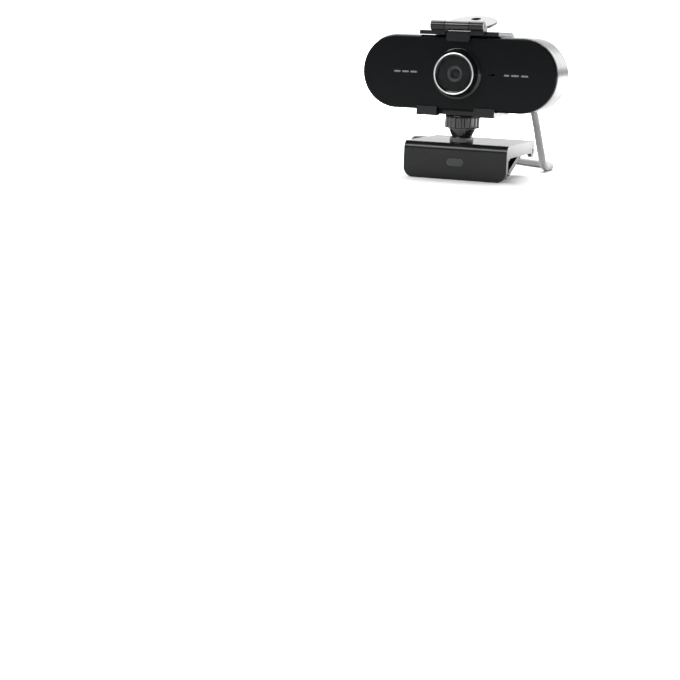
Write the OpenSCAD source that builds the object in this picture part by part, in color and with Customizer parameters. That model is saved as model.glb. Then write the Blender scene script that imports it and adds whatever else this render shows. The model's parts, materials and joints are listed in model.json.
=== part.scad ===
// Webcam with a flip-up privacy cover on a folding clip stand, in millimetres.
// +Z is up and the lens looks along -Y. The origin is at the middle of the footprint,
// on the surface that the clip's front flap and its rear leg stand on.

/* [Camera body] */
// Width of the pill-shaped body
body_w = 97; // [90:1:100]
// Height of the body
body_h = 35; // [34:0.5:36]
// Depth of the body, from its face to its back
body_d = 27; // [25:0.5:29]
// Wall of the two housing halves
body_wall = 1.8; // [1.4:0.1:2.2]
// Radius along the back edge of the rear housing
back_r = 7; // [5:0.5:8]
// Height of the lens axis above the clip's top
axis_rise = 33; // [32.5:0.5:34]

/* [Lens] */
// Diameter of the lens bezel at the face
bezel_d = 24; // [22:0.5:25]
// How far the bezel stands out of the face
bezel_rise = 6; // [5:0.5:6]
// Diameter of the lens barrel
barrel_d = 12; // [10:0.5:13]
// Diameter of the front lens
lens_d = 6.4; // [5:0.2:6.6]

/* [Clip] */
// Width of the clip
clip_w = 52; // [50:1:56]
// Depth of the clip's top plate
clip_d = 49; // [46:1:50]
// How far the face of the body stands in front of the clip
overhang = 2; // [1:0.5:5]
// Height of the front flap
clip_h = 17.5; // [17:0.5:20]
// Thickness of the front flap
flap_t = 3; // [2.5:0.5:3.5]
// Thickness of the top plate
plate_t = 2.2; // [2:0.1:2.4]
// Height of the side skirts, with the top plate
skirt_h = 6; // [5.5:0.5:6.5]
// Reach of the rear leg, from its hinge to its rubber nose
leg_reach = 27; // [26:0.5:29]
// Width of the rear leg
leg_w = 42; // [36:1:44]

/* [Ball joint] */
// Distance from the clip's front to the neck
neck_in = 9.5; // [9:0.5:11]
// Height of the ball's centre above the clip's top
ball_rise = 8.9; // [8.7:0.1:9.5]
// Diameter of the ball
ball_d = 8.8; // [8:0.2:9]
// Outer diameter of the ribbed clamp nut
nut_d = 17; // [16.4:0.2:18]
// Number of grooves round the clamp nut
nut_grooves = 18; // [12:1:24]

/* [Bracket and privacy cover] */
// Width of the bracket that holds the body
bracket_w = 39; // [36:1:42]
// Thickness of the bracket
bracket_t = 1.9; // [1.7:0.1:2]
// Diameter of the privacy cover
cover_d = 24; // [23:0.5:25]
// Thickness of the privacy cover
cover_t = 1.3; // [1.1:0.1:1.4]
// How steeply the open cover points up behind its hinge, in degrees
cover_slope = 15; // [14:1:28]

/* [Cord] */
// Diameter of the USB cord
cord_d = 3.8; // [3.4:0.1:4]
// Radius of the coil at the middle of its turns
coil_r = 21; // [20:0.5:22]

/* [Hidden] */
$fn = 64;

// Small clearances
gap = 0.1;
running = 0.05;
cut = 1;

// Places of the main parts. y runs from the lens to the back.
clip_front = -(clip_d - overhang - bezel_rise) / 2;
clip_back = clip_front + clip_d;
clip_top = clip_h;
neck_y = clip_front + neck_in;
ball_z = clip_top + ball_rise;
axis_z = clip_top + axis_rise;
face_y = clip_front - overhang;
rear_y = face_y + body_d;
pill_r = body_h / 2;
pill_half = body_w / 2 - pill_r;

// Camera body, with f counted forwards from y = 0
face_f = -face_y;
rear_f = -rear_y;
plate_face_t = 1.6;
rim = 0.6;
web_f = face_f - plate_face_t;
web_t = 1.4;
seam_f = face_f - 7.5;
board_f = face_f - 14;
board_t = 1.6;
board_w = 72;
board_h = 24;
screw_x = 38;
board_screw_x = 30;
board_screw_z = 8;
mic_x = 17;

// Lens stack
bezel_f = face_f + bezel_rise;
spigot_r = bezel_d / 2 - 1.6;
bezel_bore = bezel_d / 2 - 3.6;
window_f = bezel_f - 0.8;
window_t = 0.75;
mask_t = 0.2;
barrel_front = window_f - window_t - mask_t - 0.6;
barrel_back = board_f + 2;
lens_r = lens_d / 2;

// Clip and rear leg
leg_pin_r = 1.2;
leg_barrel_r = 2.6;
leg_y = clip_back - 3.2;
leg_z = clip_top - plate_t - leg_barrel_r - 0.3;
leg_t = 3;
nose_r = 2;
leg_tilt = asin((leg_z - nose_r) / leg_reach);
skirt_t = 2;

// Ball joint
ball_r = ball_d / 2;
stem_r = 1.8;
seat_r = ball_r + 1;
socket_r = seat_r + 1.2;
socket_foot = clip_top + 3.2;
cone_h = 3.6;
nut_foot = socket_foot + cone_h + 0.05;
bracket_foot = axis_z - pill_r - 0.2 - bracket_t;
nut_top = bracket_foot - 0.2;
socket_screw_x = 5.6;

// Bracket and privacy cover
bracket_top = axis_z + pill_r + 0.3;
bracket_back = rear_y + gap;
knuckle_r = 2.3;
cover_y = face_y - 2.7;
cover_z = axis_z + 22.1;
cover_reach = cover_z - axis_z;
knuckle_half = 5.8;
knuckle_gap = 0.4;
hinge_half = 12.9;
cover_pin_r = 0.8;
cover_inner = 3.7;
arm_t = 1.5;

// Cord: it leaves the grommet, drops behind the clip, runs along the surface and is coiled there
cord_r = cord_d / 2;
cord_x = 24;
cord_z = axis_z - 6;
grommet_l = 8;
cord_out = rear_y + grommet_l;
coil_x = -30;
coil_y = 82;
coil_rows = 3;
plug_x = -20;
plug_y = 117.5;
plug_z = 4.2;

// Routes of the cord, as points chosen by hand: down to the surface and into the coil,
// then out of the coil to the plug
ROUTE = [
    [cord_x, cord_out, cord_z], [cord_x, cord_out + 5, cord_z - 0.5], [24, 22, 41.5],
    [24, 25.5, 37.5], [24, 28, 33], [24.5, 31, 27], [25, 34, 21],
    [25.5, 37.5, 15], [26, 41.5, 9.5], [26, 46, 5], [26, 51.5, 2.6], [25.5, 58, 1.9],
    [25.5, 64.5, 1.9], [21.5, 70.5, 1.9], [15.5, 75, 1.9], [8.5, 79.5, 1.9],
    [1.5, 85.5, 1.9], [-12.5, 99.5, 1.9]
];
TAIL_ROUTE = [
    [-6, 88.4, 9.4], [-4.6, 93.5, 8.4], [-3.8, 99.5, 6], [-4.4, 106, 4.4],
    [-7.8, 112.2, 4.2], [-13.5, 116.4, 4.2], [plug_x, plug_y, plug_z]
];
top_end = 12;
drop_end = 22;

// ---------------------------------------------------------------- helpers

// Turns a profile of (radius, forward) round an axis along Y
module turned(x = 0, z = axis_z)
    translate([x, 0, z]) rotate([90, 0, 0]) rotate_extrude() children();

// Sweeps a profile of (radius, forward) round the pill outline of the body
module pill(half = pill_half)
    translate([0, 0, axis_z]) rotate([90, 0, 0]) {
        for (side = [-1, 1])
            translate([side * half, 0, 0]) rotate([0, 0, -90 * side])
                rotate_extrude(angle = 180) children();
        translate([-half, 0, 0]) rotate([90, 0, 90]) linear_extrude(2 * half) {
            children();
            mirror([1, 0]) children();
        }
    }

// A rod along Y, from y0 towards +Y
module rod_y(x, z, y0, length, r)
    translate([x, y0, z]) rotate([-90, 0, 0]) cylinder(h = length, r = r);

// A rod along X, centred on x = 0
module rod_x(y, z, length, r)
    translate([0, y, z]) rotate([0, 90, 0]) cylinder(h = length, r = r, center = true);

// A rectangle with rounded corners, between two corners
module rounded(low, high, r) {
    for (x = [low[0] + r, high[0] - r], y = [low[1] + r, high[1] - r])
        translate([x, y]) circle(r);
    translate([low[0] + r, low[1]]) square([high[0] - low[0] - 2 * r, high[1] - low[1]]);
    translate([low[0], low[1] + r]) square([high[0] - low[0], high[1] - low[1] - 2 * r]);
}

// A block between two corners
module block(low, high)
    translate(low) cube(high - low);

// Extrudes a (y, z) drawing along X, centred on x = 0
module across(width)
    rotate([90, 0, 90]) translate([0, 0, -width / 2]) linear_extrude(width) children();

// A smooth curve through route points, with steps pieces between each two
function spline(a, b, c, d, t) =
    0.5 * (2 * b + (c - a) * t + (2 * a - 5 * b + 4 * c - d) * t * t
        + (3 * b - a - 3 * c + d) * t * t * t);
function smooth(route, steps) = [
    for (i = [0 : len(route) - 2], s = [0 : steps - 1])
        spline(route[max(i - 1, 0)], route[i], route[i + 1],
            route[min(i + 2, len(route) - 1)], s / steps),
    route[len(route) - 1]
];
function unit(v) = v / norm(v);
function heading(line, i) =
    unit(line[min(i + 1, len(line) - 1)] - line[max(i - 1, 0)]);

// Sweeps the cord's round section along a line, from one of its points to another.
// Two neighbouring stretches of one line meet in the same end face.
module tube(line, first, last) {
    sides = 8;
    rings = last - first + 1;
    points = [
        for (i = [0 : rings - 1])
            let (
                ahead = heading(line, first + i),
                right = unit(cross(ahead, abs(ahead[2]) > 0.9 ? [0, 1, 0] : [0, 0, 1])),
                up = cross(right, ahead)
            )
            for (k = [0 : sides - 1])
                let (turn = 360 * (k + 0.5) / sides)
                line[first + i] + cord_r * (cos(turn) * right + sin(turn) * up)
    ];
    walls = [
        for (i = [0 : rings - 2], k = [0 : sides - 1])
            let (a = i * sides + k, b = i * sides + (k + 1) % sides)
            [a, b, b + sides, a + sides]
    ];
    caps = [
        [for (k = [sides - 1 : -1 : 0]) k],
        [for (k = [0 : sides - 1]) (rings - 1) * sides + k]
    ];
    polyhedron(points, concat(caps, walls));
}

// ---------------------------------------------------------------- clip stand

// Side drawing of the clip: front flap and top plate, rounded where they meet
module clip_side() {
    edge_r = 3.5;
    difference() {
        union() {
            translate([clip_front, 0]) square([flap_t, clip_top - edge_r]);
            translate([clip_front + edge_r, clip_top - skirt_h])
                square([clip_d - edge_r, skirt_h]);
            translate([clip_front + edge_r, clip_top - edge_r]) circle(edge_r);
            translate([clip_front, clip_top - skirt_h]) square([edge_r, skirt_h - edge_r]);
            translate([leg_y, leg_z]) circle(3);
        }
        translate([leg_y + 3, -cut]) square([cut, leg_z]);
    }
}

// Front drawing of the clip: a plate with large round lower corners
module clip_outline() {
    half = clip_w / 2;
    corner = 5;
    rounded([-half, 0], [half, clip_top - 4], corner);
    translate([-half, clip_top / 2]) square([clip_w, clip_top / 2]);
}

module clip_frame() color("#2b2c2e") {
    inner = clip_w / 2 - skirt_t;
    badge_z = clip_top / 2 - 0.4;
    difference() {
        intersection() {
            across(clip_w) clip_side();
            translate([0, clip_back + cut, 0]) rotate([90, 0, 0])
                linear_extrude(clip_d + 2 * cut) clip_outline();
        }
        // the hollow under the top plate, which the leg folds into
        block([-inner, clip_front + flap_t, -cut], [inner, clip_back + cut, clip_top - plate_t]);
        rod_x(leg_y, leg_z, clip_w + cut, leg_pin_r + running);
        translate([0, neck_y, 0]) cylinder(h = clip_top + cut, r = stem_r + running);
        // the recess of the badge
        rotate([90, 0, 0]) translate([0, 0, -clip_front - 0.6]) linear_extrude(cut)
            rounded([-4.6, badge_z - 2.1], [4.6, badge_z + 2.1], 2.09);
    }
}

// A tray under the swivel's screw: the screen's upper edge rests against its flat underside
module base_cover() color("#242526") {
    half = clip_w / 2 - skirt_t - 0.1;
    foot = clip_top - plate_t - 3.8;
    front = clip_front + flap_t + 1.4;
    back = neck_y + 6.5;
    block([-half, front, foot], [half, back, foot + 1]);
    for (side = [-1, 1])
        translate([side * (half - 0.8), 0, 0])
            block([-0.8, front, foot], [0.8, back, clip_top - plate_t - 0.1]);
}

module front_pad() color("#161617") {
    pad_half = clip_w / 2 - 5;
    back = clip_front + flap_t;
    translate([0, back + 1, 0]) rotate([90, 0, 0]) linear_extrude(1)
        rounded([-pad_half, 1.6], [pad_half, 10.6], 2);
    for (i = [0 : 3])
        rod_x(back + 1, 3 + 2.2 * i, 2 * pad_half - 4, 0.3);
}

module front_badge() color("#1b1c1d") {
    badge_z = clip_top / 2 - 0.4;
    rotate([90, 0, 0]) translate([0, 0, -clip_front - 0.6]) linear_extrude(0.45)
        rounded([-4.5, badge_z - 2], [4.5, badge_z + 2], 1.99);
}

module leg_pin() color("silver")
    rod_x(leg_y, leg_z, clip_w - 0.6, leg_pin_r);

module rear_leg() color("#242526") {
    translate([0, leg_y, leg_z]) rotate([leg_tilt, 0, 0]) difference() {
        across(leg_w) {
            circle(leg_barrel_r);
            translate([-leg_reach + nose_r - 0.2, -leg_t / 2])
                square([leg_reach - nose_r, leg_t]);
            translate([-leg_reach, -0.8]) square([4, 1.6]);
        }
        rotate([0, 90, 0]) cylinder(h = leg_w + cut, r = leg_pin_r + 2 * running, center = true);
        // three shallow grooves across the outside face
        for (i = [0 : 2])
            translate([0, -9 - 4 * i, -leg_t / 2])
                rotate([0, 90, 0]) cylinder(h = leg_w - 10, r = 0.5, center = true);
    }
}

module leg_nose() color("#161617") {
    translate([0, leg_y, leg_z]) rotate([leg_tilt, 0, 0]) difference() {
        translate([0, -leg_reach, 0]) rotate([0, 90, 0])
            cylinder(h = leg_w - 2, r = nose_r, center = true);
        translate([-leg_w / 2, -leg_reach - 0.02, -0.82]) cube([leg_w, 5, 1.64]);
        translate([-leg_w / 2, -leg_reach + nose_r - 0.22, -leg_t]) cube([leg_w, 5, 2 * leg_t]);
    }
}

// ---------------------------------------------------------------- ball joint

module swivel_collar() color("#1b1c1d") {
    floor_t = 1.5;
    top = 2.9;
    translate([0, neck_y, clip_top + running]) rotate_extrude()
        polygon([
            [stem_r + 0.02, 0], [5.8, 0], [5.8, top - 0.5], [5.3, top],
            [4.9, top], [4.8, floor_t], [stem_r + 0.02, floor_t]
        ]);
}

module ball_stud() color("#1b1c1d") {
    foot = clip_top - plate_t - 0.4;
    translate([0, neck_y, 0]) difference() {
        union() {
            translate([0, 0, foot]) cylinder(h = ball_z - foot, r = stem_r);
            translate([0, 0, ball_z]) sphere(ball_r);
        }
        translate([0, 0, foot - cut]) cylinder(h = 6 + cut, r = 0.9);
    }
}

module stud_washer() color("silver") {
    translate([0, neck_y, clip_top - plate_t - 0.95]) difference() {
        cylinder(h = 0.5, r = 3.2);
        translate([0, 0, -cut]) cylinder(h = 3 * cut, r = 1.1);
    }
}

module stud_screw() color("silver") {
    head = clip_top - plate_t - 2.25;
    translate([0, neck_y, head]) difference() {
        union() {
            cylinder(h = 1.25, r = 2.3);
            cylinder(h = 7.5, r = 0.85);
        }
        translate([-1.5, -0.25, -cut]) cube([3, 0.5, cut + 0.6]);
    }
}

module ball_seat() color("#d9d9d4") {
    low = -2;
    high = 3.2;
    translate([0, neck_y, ball_z]) difference() {
        intersection() {
            sphere(seat_r - running);
            translate([0, 0, low]) cylinder(h = high - low, r = seat_r + cut);
        }
        sphere(ball_r + running);
        // slots that let the seat grip
        for (turn = [0, 90])
            rotate([0, 0, turn + 45]) block([-seat_r - cut, -0.4, 0.8], [seat_r + cut, 0.4, high + cut]);
    }
}

module ball_socket() color("#1b1c1d") {
    top = bracket_foot;
    mouth = 4.5;
    translate([0, neck_y, 0]) difference() {
        rotate_extrude() {
            polygon([
                [0, ball_z], [mouth, socket_foot], [5, socket_foot],
                [socket_r, socket_foot + cone_h], [socket_r, top], [0, top]
            ]);
        }
        translate([0, 0, ball_z]) sphere(seat_r + running);
        translate([0, 0, socket_foot - cut]) cylinder(h = ball_z - socket_foot + cut, r = mouth);
        for (side = [-1, 1])
            translate([side * socket_screw_x, 0, top - 1.9]) cylinder(h = 3, r = 0.78);
    }
}

module clamp_nut() color("#1b1c1d") {
    r = nut_d / 2;
    translate([0, neck_y, nut_foot]) difference() {
        rotate_extrude()
            polygon([
                [socket_r + 0.08, 0], [r - 0.5, 0], [r, 0.5],
                [r, nut_top - nut_foot - 0.5], [r - 0.5, nut_top - nut_foot],
                [socket_r + 0.08, nut_top - nut_foot]
            ]);
        for (i = [0 : nut_grooves - 1])
            rotate([0, 0, 360 * i / nut_grooves]) translate([r + 0.35, 0, -cut])
                cylinder(h = nut_top - nut_foot + 2 * cut, r = 0.85, $fn = 24);
    }
}

module socket_screws() color("silver") {
    top = bracket_foot + bracket_t;
    for (side = [-1, 1]) translate([side * socket_screw_x, neck_y, top]) difference() {
        union() {
            translate([0, 0, -0.95]) cylinder(h = 0.85, r1 = 0.85, r2 = 1.6);
            translate([0, 0, -3.7]) cylinder(h = 3, r = 0.75);
        }
        translate([-1.1, -0.15, -0.5]) cube([2.2, 0.3, cut]);
        translate([-0.15, -1.1, -0.5]) cube([0.3, 2.2, cut]);
    }
}

// ---------------------------------------------------------------- bracket and cover

// Side drawing of the bracket: a C that wraps the body from below, behind and above
module bracket_side() {
    outer_r = back_r + bracket_t;
    low = bracket_foot;
    high = bracket_top + bracket_t;
    back = bracket_back + bracket_t;
    difference() {
        rounded([face_y - 40, low], [back, high], outer_r);
        rounded([face_y - 44, bracket_foot + bracket_t], [bracket_back, bracket_top], back_r);
        translate([face_y - 45, low - cut]) square([45 - 0.7, high - low + 2 * cut]);
    }
}

module bracket() color("#1d1e20") {
    half = bracket_w / 2;
    tab_in = 9.2;
    tab_low = clip_top + 12.9;
    plate_top = bracket_foot + bracket_t;
    difference() {
        union() {
            across(bracket_w) bracket_side();
            // two hooks that hold the lower edge of the face
            for (side = [-1, 1]) {
                x = side < 0 ? -half : tab_in;
                end = x + half - tab_in;
                block([x, face_y - 1.2, tab_low], [end, face_y + 3.4, plate_top]);
                block([x, face_y - 1.2, tab_low], [end, face_y - 0.2, plate_top + 1.9]);
            }
            // the hook over the upper edge, under the cover's knuckle
            translate([0, face_y - 0.2, 0]) rotate([90, 0, 0]) linear_extrude(1.6)
                rounded([-knuckle_half, cover_z - 7.2], [knuckle_half, cover_z - knuckle_r - 0.15], 1.2);
            block([-knuckle_half, face_y - 0.3, bracket_top],
                [knuckle_half, face_y + 1, bracket_top + 1.2]);
            // the two outer knuckles of the cover's hinge
            for (side = [-1, 1])
                translate([side * (hinge_half + knuckle_half + knuckle_gap) / 2, 0, 0])
                    across(hinge_half - knuckle_half - knuckle_gap) {
                        translate([cover_y, cover_z]) circle(knuckle_r);
                        translate([cover_y, bracket_top + 0.3])
                            square([5, cover_z - bracket_top]);
                    }
        }
        rod_x(cover_y, cover_z, bracket_w, cover_pin_r + running);
        // the notch between the two hooks, down to the clamp nut
        block([-tab_in, face_y - 2, bracket_foot - cut], [tab_in, neck_y - 8.3, plate_top + gap]);
        // screw holes: two in the back, one into the ball socket
        for (side = [-1, 1])
            rod_y(12 * side, axis_z, bracket_back - cut, bracket_t + 2 * cut, 1.3);
        for (side = [-1, 1]) translate([side * socket_screw_x, neck_y, bracket_foot]) {
            translate([0, 0, -cut]) cylinder(h = 4, r = 0.85);
            translate([0, 0, bracket_t - 1]) cylinder(h = 2, r1 = 0.9, r2 = 2.7);
        }
    }
}

module bracket_screws() color("silver") {
    out = bracket_back + bracket_t;
    for (side = [-1, 1]) difference() {
        union() {
            rod_y(12 * side, axis_z, out, 1.3, 2.3);
            rod_y(12 * side, axis_z, rear_y - 4, out - rear_y + 4, 0.95);
        }
        translate([12 * side - 1.6, out + 0.7, axis_z - 0.25]) cube([3.2, cut, 0.5]);
        translate([12 * side - 0.25, out + 0.7, axis_z - 1.6]) cube([0.5, cut, 3.2]);
    }
}

module cover_pin() color("silver")
    rod_x(cover_y, cover_z, 2 * hinge_half - 0.4, cover_pin_r);

// The cover is drawn shut, hanging in front of the lens, and turned back over the body
module privacy_cover() color("#1a1b1d") {
    r = cover_d / 2;
    step = cover_reach - r + 1.6;
    translate([0, cover_y, cover_z]) rotate([-270 + cover_slope, 0, 0]) difference() {
        union() {
            rotate([0, 90, 0]) cylinder(h = 2 * knuckle_half, r = knuckle_r, center = true);
            across(2 * knuckle_half)
                polygon([
                    [-knuckle_r, 0], [-knuckle_r, -step + 2.6],
                    [-cover_inner - cover_t, -step], [-cover_inner, -step - 0.6],
                    [-knuckle_r + arm_t, -step + 2.4], [-knuckle_r + arm_t, 0]
                ]);
            translate([0, -cover_inner, -cover_reach]) rotate([90, 0, 0])
                rotate_extrude()
                    polygon([
                        [0, 0], [r - 0.2, 0], [r, 0.2], [r, cover_t - 0.4],
                        [r - 0.5, cover_t], [0, cover_t]
                    ]);
        }
        rotate([0, 90, 0]) cylinder(h = hinge_half, r = cover_pin_r + 2 * running, center = true);
        translate([0, 0, -cover_reach - 5.5]) rotate([90, 0, 0]) cylinder(h = 9, r = 2.4);
    }
}

// ---------------------------------------------------------------- camera body

module front_plate() color("#101112") {
    difference() {
        pill() polygon([
            [0, web_f + 0.05], [pill_r - rim, web_f + 0.05], [pill_r - rim, face_f - 0.4],
            [pill_r - rim - 0.4, face_f], [0, face_f]
        ]);
        rod_y(0, axis_z, face_y - cut, 4, spigot_r + 0.1);
        // the microphone's slot
        translate([mic_x, face_y + 3, axis_z]) rotate([90, 0, 0]) linear_extrude(6)
            rounded([-1.6, -0.4], [1.6, 0.4], 0.39);
    }
}

module front_housing() color("#1b1c1e") {
    inner = pill_r - body_wall;
    back = web_f - web_t;
    difference() {
        union() {
            pill() polygon([
                [inner, seam_f], [pill_r, seam_f], [pill_r, face_f - 1.7],
                [pill_r - 0.2, face_f - 0.9], [pill_r - rim + 0.1, face_f - 0.45],
                [pill_r - rim + 0.05, web_f], [0, web_f], [0, back], [inner, back]
            ]);
            // bosses for the board's screws and the housing's screws
            for (side = [-1, 1]) {
                for (up = [-1, 1])
                    rod_y(side * board_screw_x, axis_z + up * board_screw_z, -back - 0.1,
                        back - board_f - board_t, 2.4);
                rod_y(side * screw_x, axis_z, -back - 0.1, back + rear_y - 18.1, 2.6);
            }
        }
        rod_y(0, axis_z, -web_f - cut, 4, spigot_r + 0.1);
        rod_y(mic_x, axis_z, -web_f - cut, 4, 0.8);
        for (side = [-1, 1]) {
            for (up = [-1, 1])
                rod_y(side * board_screw_x, axis_z + up * board_screw_z, -back + 3, 12, 0.9);
            rod_y(side * screw_x, axis_z, -back + 1, 12, 1.05);
        }
    }
}

// Outline of the rear housing's section, with its rounded back edge
module rear_section(r, edge, foot, top) {
    translate([0, foot + edge]) square([r, top - foot - edge]);
    translate([0, foot]) square([r - edge, edge + 0.01]);
    translate([r - edge, foot + edge]) circle(edge);
}

module rear_housing() color("#1b1c1e") {
    inner = pill_r - body_wall;
    top = seam_f - gap;
    inner_foot = rear_f + body_wall;
    difference() {
        union() {
            pill() difference() {
                rear_section(pill_r, back_r, rear_f, top);
                rear_section(inner, back_r - body_wall, inner_foot, top + cut);
            }
            for (side = [-1, 1]) {
                rod_y(side * screw_x, axis_z, rear_y - 18, 17, 3.2);
                rod_y(side * 12, axis_z, rear_y - 6, 5, 2.6);
            }
        }
        for (side = [-1, 1]) {
            rod_y(side * screw_x, axis_z, rear_y - 19, 21, 1.3);
            rod_y(side * screw_x, axis_z, rear_y - 3, 5, 2.5);
            rod_y(side * 12, axis_z, rear_y - 5, 7, 1);
            // sound and heat slots low in the back
            for (i = [0 : 4])
                translate([side * (5 + 2.4 * i) - 32 * side, rear_y - 3, axis_z - 5])
                    cube([1.1, 5, 3]);
        }
        rod_y(cord_x, cord_z, rear_y - 4, 6, 3.3);
    }
}

module housing_screws() color("silver") {
    for (side = [-1, 1]) difference() {
        union() {
            rod_y(side * screw_x, axis_z, rear_y - 3, 1.5, 2.3);
            rod_y(side * screw_x, axis_z, rear_y - 22, 20, 0.95);
        }
        translate([side * screw_x - 1.6, rear_y - 2.1, axis_z - 0.25]) cube([3.2, cut, 0.5]);
        translate([side * screw_x - 0.25, rear_y - 2.1, axis_z - 1.6]) cube([0.5, cut, 3.2]);
    }
}

// ---------------------------------------------------------------- lens

module lens_bezel() color("#141516") {
    r = bezel_d / 2;
    turned() polygon(concat(
        [[bezel_bore, web_f - web_t], [spigot_r, web_f - web_t], [spigot_r, face_f + 0.02],
            [r, face_f + 0.02], [r, face_f + 0.5]],
        // a hollow flare from the foot to the front ring
        [for (t = [15 : 15 : 75])
            [r - 2.2 * sin(t), face_f + 0.5 + (bezel_rise - 1.1) * (1 - cos(t))]],
        [[r - 2.3, bezel_f - 0.5], [r - 2.6, bezel_f - 0.1], [r - 3, bezel_f],
            [r - 3.4, bezel_f - 0.15], [bezel_bore, bezel_f - 0.5]]
    ));
}

module lens_window() color("#20242a", 0.5)
    turned() translate([0, window_f - window_t]) square([bezel_bore - running, window_t]);

module lens_mask() color("#08090a") {
    foot = window_f - window_t - mask_t;
    turned() translate([lens_r + 0.6, foot]) square([bezel_bore - lens_r - 0.7, mask_t - 0.01]);
}

module lens_barrel() color("#0e0e0f") {
    r = barrel_d / 2;
    turned() polygon([
        [lens_r + 0.05, barrel_front - 3], [lens_r + 0.05, barrel_front],
        [lens_r + 1.6, barrel_front], [lens_r + 2, barrel_front - 0.4],
        [lens_r + 2, barrel_front - 2.5], [r, barrel_front - 3],
        [r, barrel_back], [2, barrel_back], [2, barrel_front - 3]
    ]);
}

module lens_element() color("#2c3d5e", 0.7) {
    dome = 5.4;
    sag = 1.1;
    foot = barrel_front - 2.9;
    intersection() {
        rod_y(0, axis_z, -foot - 2.1, 2.1, lens_r);
        translate([0, -foot - 2.1 + dome, axis_z]) sphere(dome);
    }
}

module retaining_ring() color("#3a3b3d") {
    turned() translate([lens_r - 0.55, barrel_front + 0.02]) square([1.1, 0.35]);
}

module lens_holder() color("#17181a") {
    half = 7.5;
    foot = board_f + 0.05;
    difference() {
        union() {
            block([-half, -foot - 5, axis_z - half], [half, -foot, axis_z + half]);
            rod_y(0, axis_z, -foot - 9, 9, 7);
        }
        rod_y(0, axis_z, -foot - 10, 9, barrel_d / 2 + running);
        block([-5, -foot - 1.6, axis_z - 5], [5, -foot + cut, axis_z + 5]);
    }
}

module image_sensor() color("#33506b") {
    foot = board_f + 0.06;
    block([-4.2, -foot - 1, axis_z - 4.2], [4.2, -foot, axis_z + 4.2]);
}

module circuit_board() color("#1f5a35") {
    difference() {
        block([-board_w / 2, -board_f, axis_z - board_h / 2],
            [board_w / 2, -board_f + board_t, axis_z + board_h / 2]);
        for (side = [-1, 1]) {
            for (up = [-1, 1])
                rod_y(side * board_screw_x, axis_z + up * board_screw_z, -board_f - cut, 4, 1.1);
            block([side * screw_x - 5, -board_f - cut, axis_z - 5],
                [side * screw_x + 5, -board_f + 3, axis_z + 5]);
        }
    }
    // small chips on the back of the board
    for (chip = [[-12, 5, 6], [-3, -6, 4], [9, 4, 5], [-21, -5, 3]])
        translate([chip[0], -board_f + board_t, axis_z + chip[1] - chip[2] / 2])
            cube([chip[2], 1, chip[2]]);
}

module board_screws() color("silver") {
    back = -board_f + board_t;
    for (side = [-1, 1], up = [-1, 1]) {
        x = side * board_screw_x;
        z = axis_z + up * board_screw_z;
        difference() {
            union() {
                rod_y(x, z, back + 0.02, 1.2, 1.9);
                rod_y(x, z, back - 6, 6.5, 0.8);
            }
            translate([x - 1.4, back + 0.8, z - 0.2]) cube([2.8, cut, 0.4]);
        }
    }
}

module microphone() color("#b9b9b2")
    rod_y(mic_x, axis_z, -board_f - 1.55, 1.5, 2);

module mic_gasket() color("#202020") {
    front = -(web_f - web_t) + 0.1;
    back = -board_f - 1.6;
    difference() {
        rod_y(mic_x, axis_z, front, back - front, 2.3);
        rod_y(mic_x, axis_z, front - cut, back - front + 2 * cut, 1.1);
    }
}

module cable_header() color("#dedbd0") {
    y = -board_f + board_t;
    difference() {
        block([cord_x - 4, y + 0.02, axis_z - 3], [cord_x + 4, y + 3.6, axis_z + 3]);
        block([cord_x - 3.2, y + 1.4, axis_z - 2.2], [cord_x + 3.2, y + 5, axis_z + 2.2]);
    }
}

// ---------------------------------------------------------------- cord and plug

module cable_grommet() color("#1d1e1f") {
    bore = cord_r + 0.02;
    translate([cord_x, rear_y, cord_z]) rotate([-90, 0, 0]) difference() {
        rotate_extrude() polygon([
            [bore, -3], [4.4, -3], [4.4, -1.9], [3.2, -1.85], [3.2, 0.1],
            [3.9, 0.15], [3.9, 0.7], [3.3, 1.1], [2.5, grommet_l - 0.3],
            [2.3, grommet_l], [bore, grommet_l]
        ]);
        for (i = [0 : 3])
            translate([0, 0, 2 + 1.5 * i]) rotate([0, 0, 90 * i])
                translate([2.3, -4, 0]) cube([3, 8, 0.5]);
    }
}

module cord_top() color("#8d8f90")
    tube(smooth(ROUTE, 2), 0, top_end);

module cord_drop() color("#8d8f90")
    tube(smooth(ROUTE, 2), top_end, drop_end);

module cord_run() color("#8d8f90")
    tube(smooth(ROUTE, 2), drop_end, 2 * len(ROUTE) - 2);

module cord_coil() color("#8d8f90") {
    width = coil_rows * cord_d;
    translate([coil_x, coil_y, 0]) rotate_extrude()
        translate([coil_r, 0]) rounded([-width / 2, 0.02], [width / 2, width], cord_r);
}

module cord_tail() color("#8d8f90")
    tube(smooth(TAIL_ROUTE, 2), 0, 2 * len(TAIL_ROUTE) - 2);

// A band round the coil's section. It squeezes the turns a little on the underside.
module cable_tie() color("#141414") {
    width = coil_rows * cord_d;
    middle = 200;
    span = 24;
    translate([coil_x, coil_y, 0]) rotate([0, 0, middle - span / 2])
        rotate_extrude(angle = span) translate([coil_r, 0]) difference() {
            rounded([-width / 2 - 1.2, 0], [width / 2 + 1.2, width + 1.2], 2.2);
            rounded([-width / 2 - 0.2, 0.4], [width / 2 + 0.2, width + 0.2], 1.9);
        }
}

module usb_plug() color("#1b1c1d") {
    translate([plug_x, plug_y, plug_z]) rotate([0, -90, 0]) {
        rotate_extrude() polygon([[0, 0], [2.6, 0], [3.2, 6.5], [0, 6.5]]);
        translate([0, 0, 6.5]) linear_extrude(20)
            rounded([-4.1, -7.8], [4.1, 7.8], 1.5);
    }
}

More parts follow.
